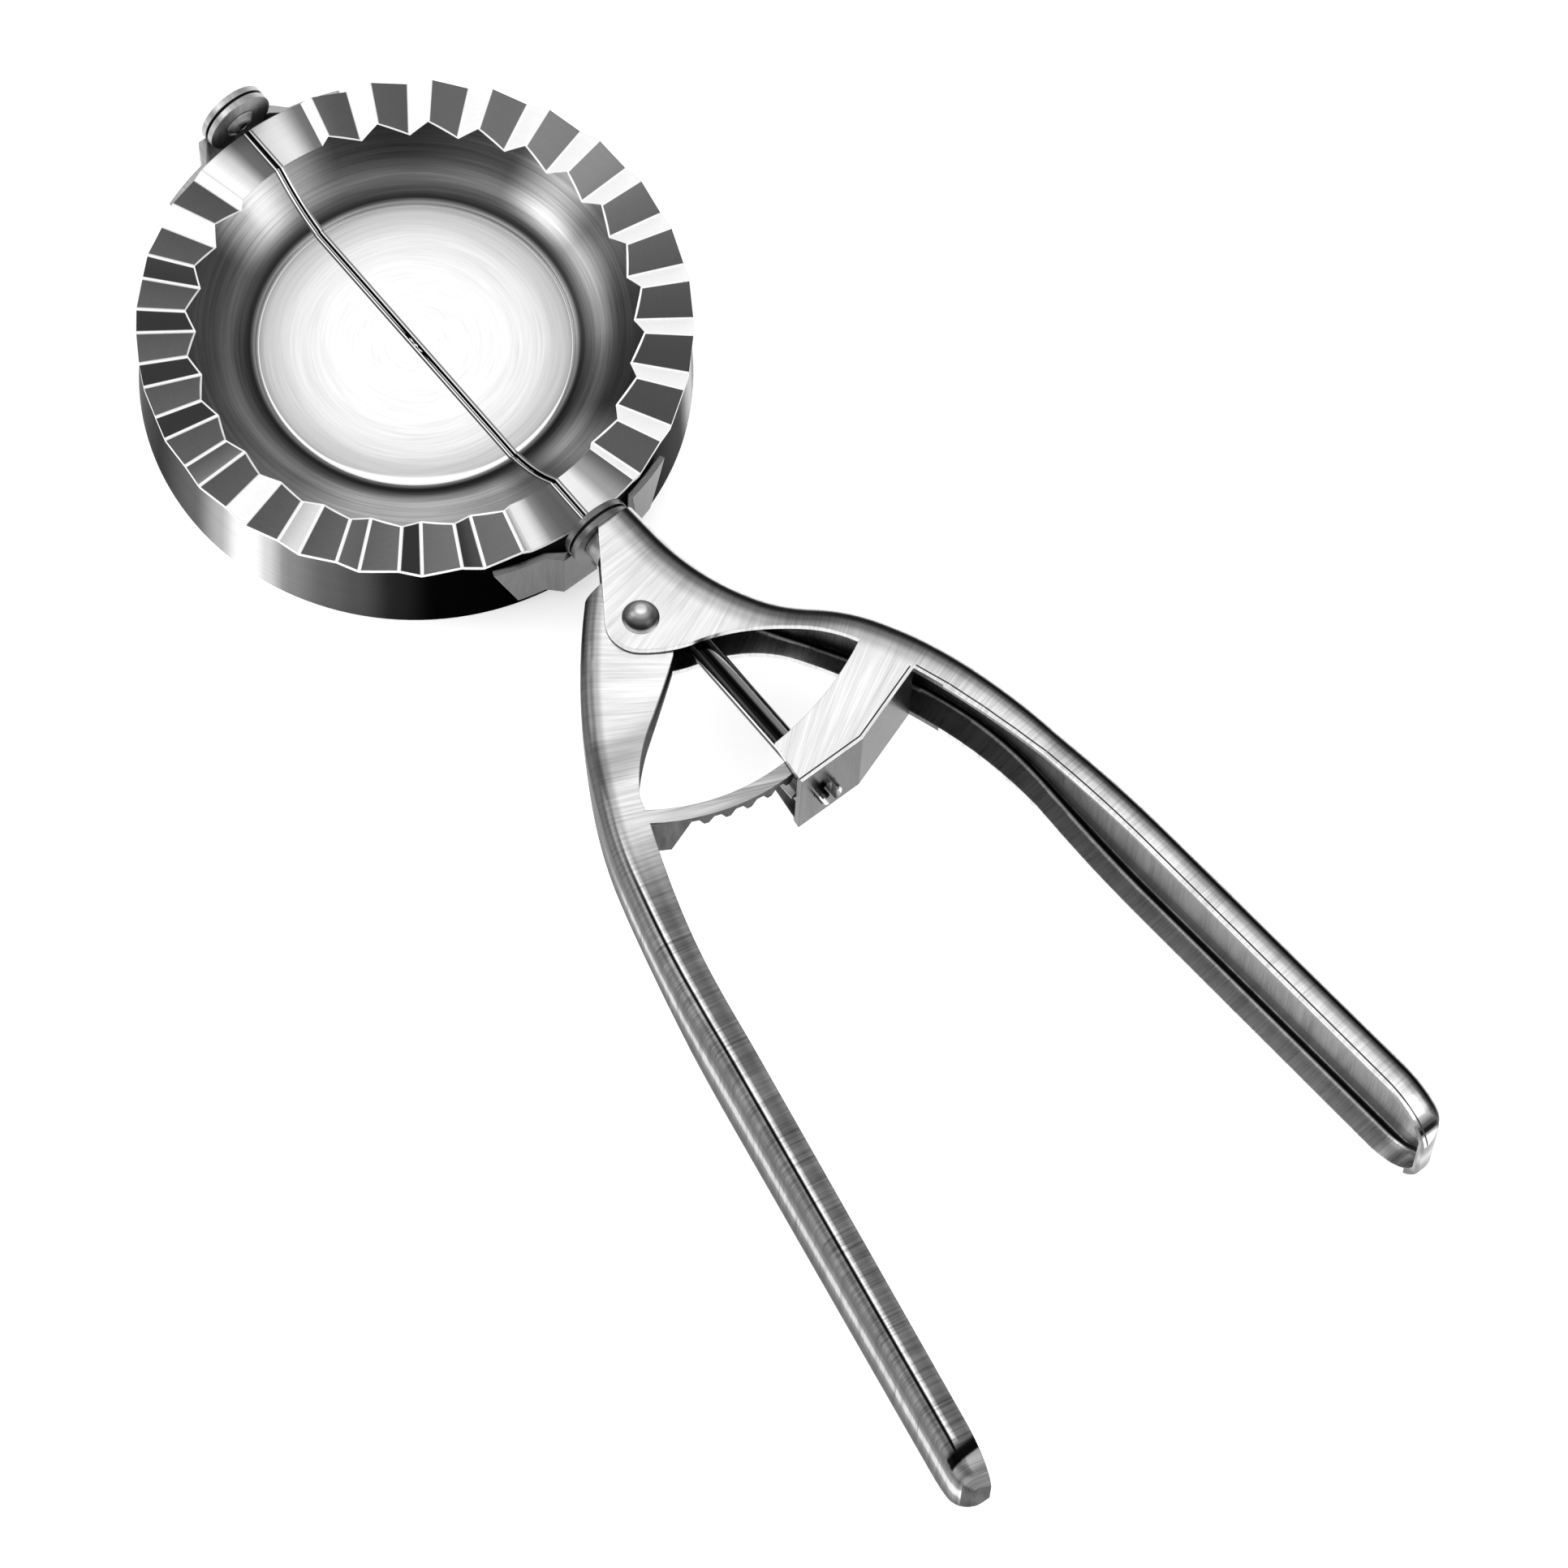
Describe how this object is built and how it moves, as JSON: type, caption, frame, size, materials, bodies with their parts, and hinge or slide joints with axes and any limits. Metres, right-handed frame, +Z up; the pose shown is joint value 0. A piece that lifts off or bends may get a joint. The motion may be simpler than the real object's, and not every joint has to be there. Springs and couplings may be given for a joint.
{
  "type": "dumpling press",
  "caption": "Hand press for dumplings: a round pleated mould in two halves, folded shut by a squeeze lever through a rack and pinion.",
  "frame": {"origin": "centre of the round mould, in the plane of the cutter's lower edge, on which the press rests", "axes": "+X along the hinge shaft from the mould towards the handles, +Y towards the fixed handle, +Z up out of the open dish"},
  "size_m": [0.2495, 0.0983, 0.0287],
  "materials": {
    "handle_steel": "brushed across the handles",
    "dish_steel": "polished, finely turned",
    "skirt_steel": "mirror polished",
    "ear_steel": "satin",
    "rivet_steel": "polished",
    "shaft_steel": "polished",
    "pinion_steel": "machined",
    "washer_steel": "plain",
    "spring_wire": "drawn wire"
  },
  "bodies": {
    "frame": {"fixed_handle": "handle_steel", "pivot_rivet": "rivet_steel", "near_pivot_washer": "washer_steel", "far_pivot_washer": "washer_steel", "spring_sleeve": "washer_steel", "return_spring": "spring_wire", "fixed_mould_dish": "dish_steel", "fixed_cutter_skirt": "skirt_steel", "fixed_neck_ear": "ear_steel", "fixed_nose_ear": "ear_steel", "nose_rivet": "rivet_steel", "neck_washer": "washer_steel", "nose_washer": "washer_steel", "neck_bush": "washer_steel", "shaft_thrust_washer": "washer_steel"},
    "lever": {"lever_handle": "handle_steel"},
    "fold": {"moving_mould_dish": "dish_steel", "moving_cutter_skirt": "skirt_steel", "moving_neck_ear": "ear_steel", "moving_nose_ear": "ear_steel", "drive_shaft": "shaft_steel", "pinion": "pinion_steel"}
  },
  "joints": [
    {"name": "lever_pivot", "type": "hinge", "parent": "frame", "child": "lever", "pos_m": [0.0627, -0.0056, 0.0162], "axis": [0, 0, 1], "range_deg": [0, 22.86], "stiffness_Nm_per_rad": 0.022, "springref_deg": -80.21, "deforming": ["return_spring"]},
    {"name": "mould_fold", "type": "hinge", "parent": "frame", "child": "fold", "pos_m": [0, 0, 0.0162], "axis": [-1, 0, 0], "range_deg": [0, 180]}
  ],
  "couplings": [
    {"joint": "mould_fold", "follows": "lever_pivot", "ratio": 7.875}
  ]
}
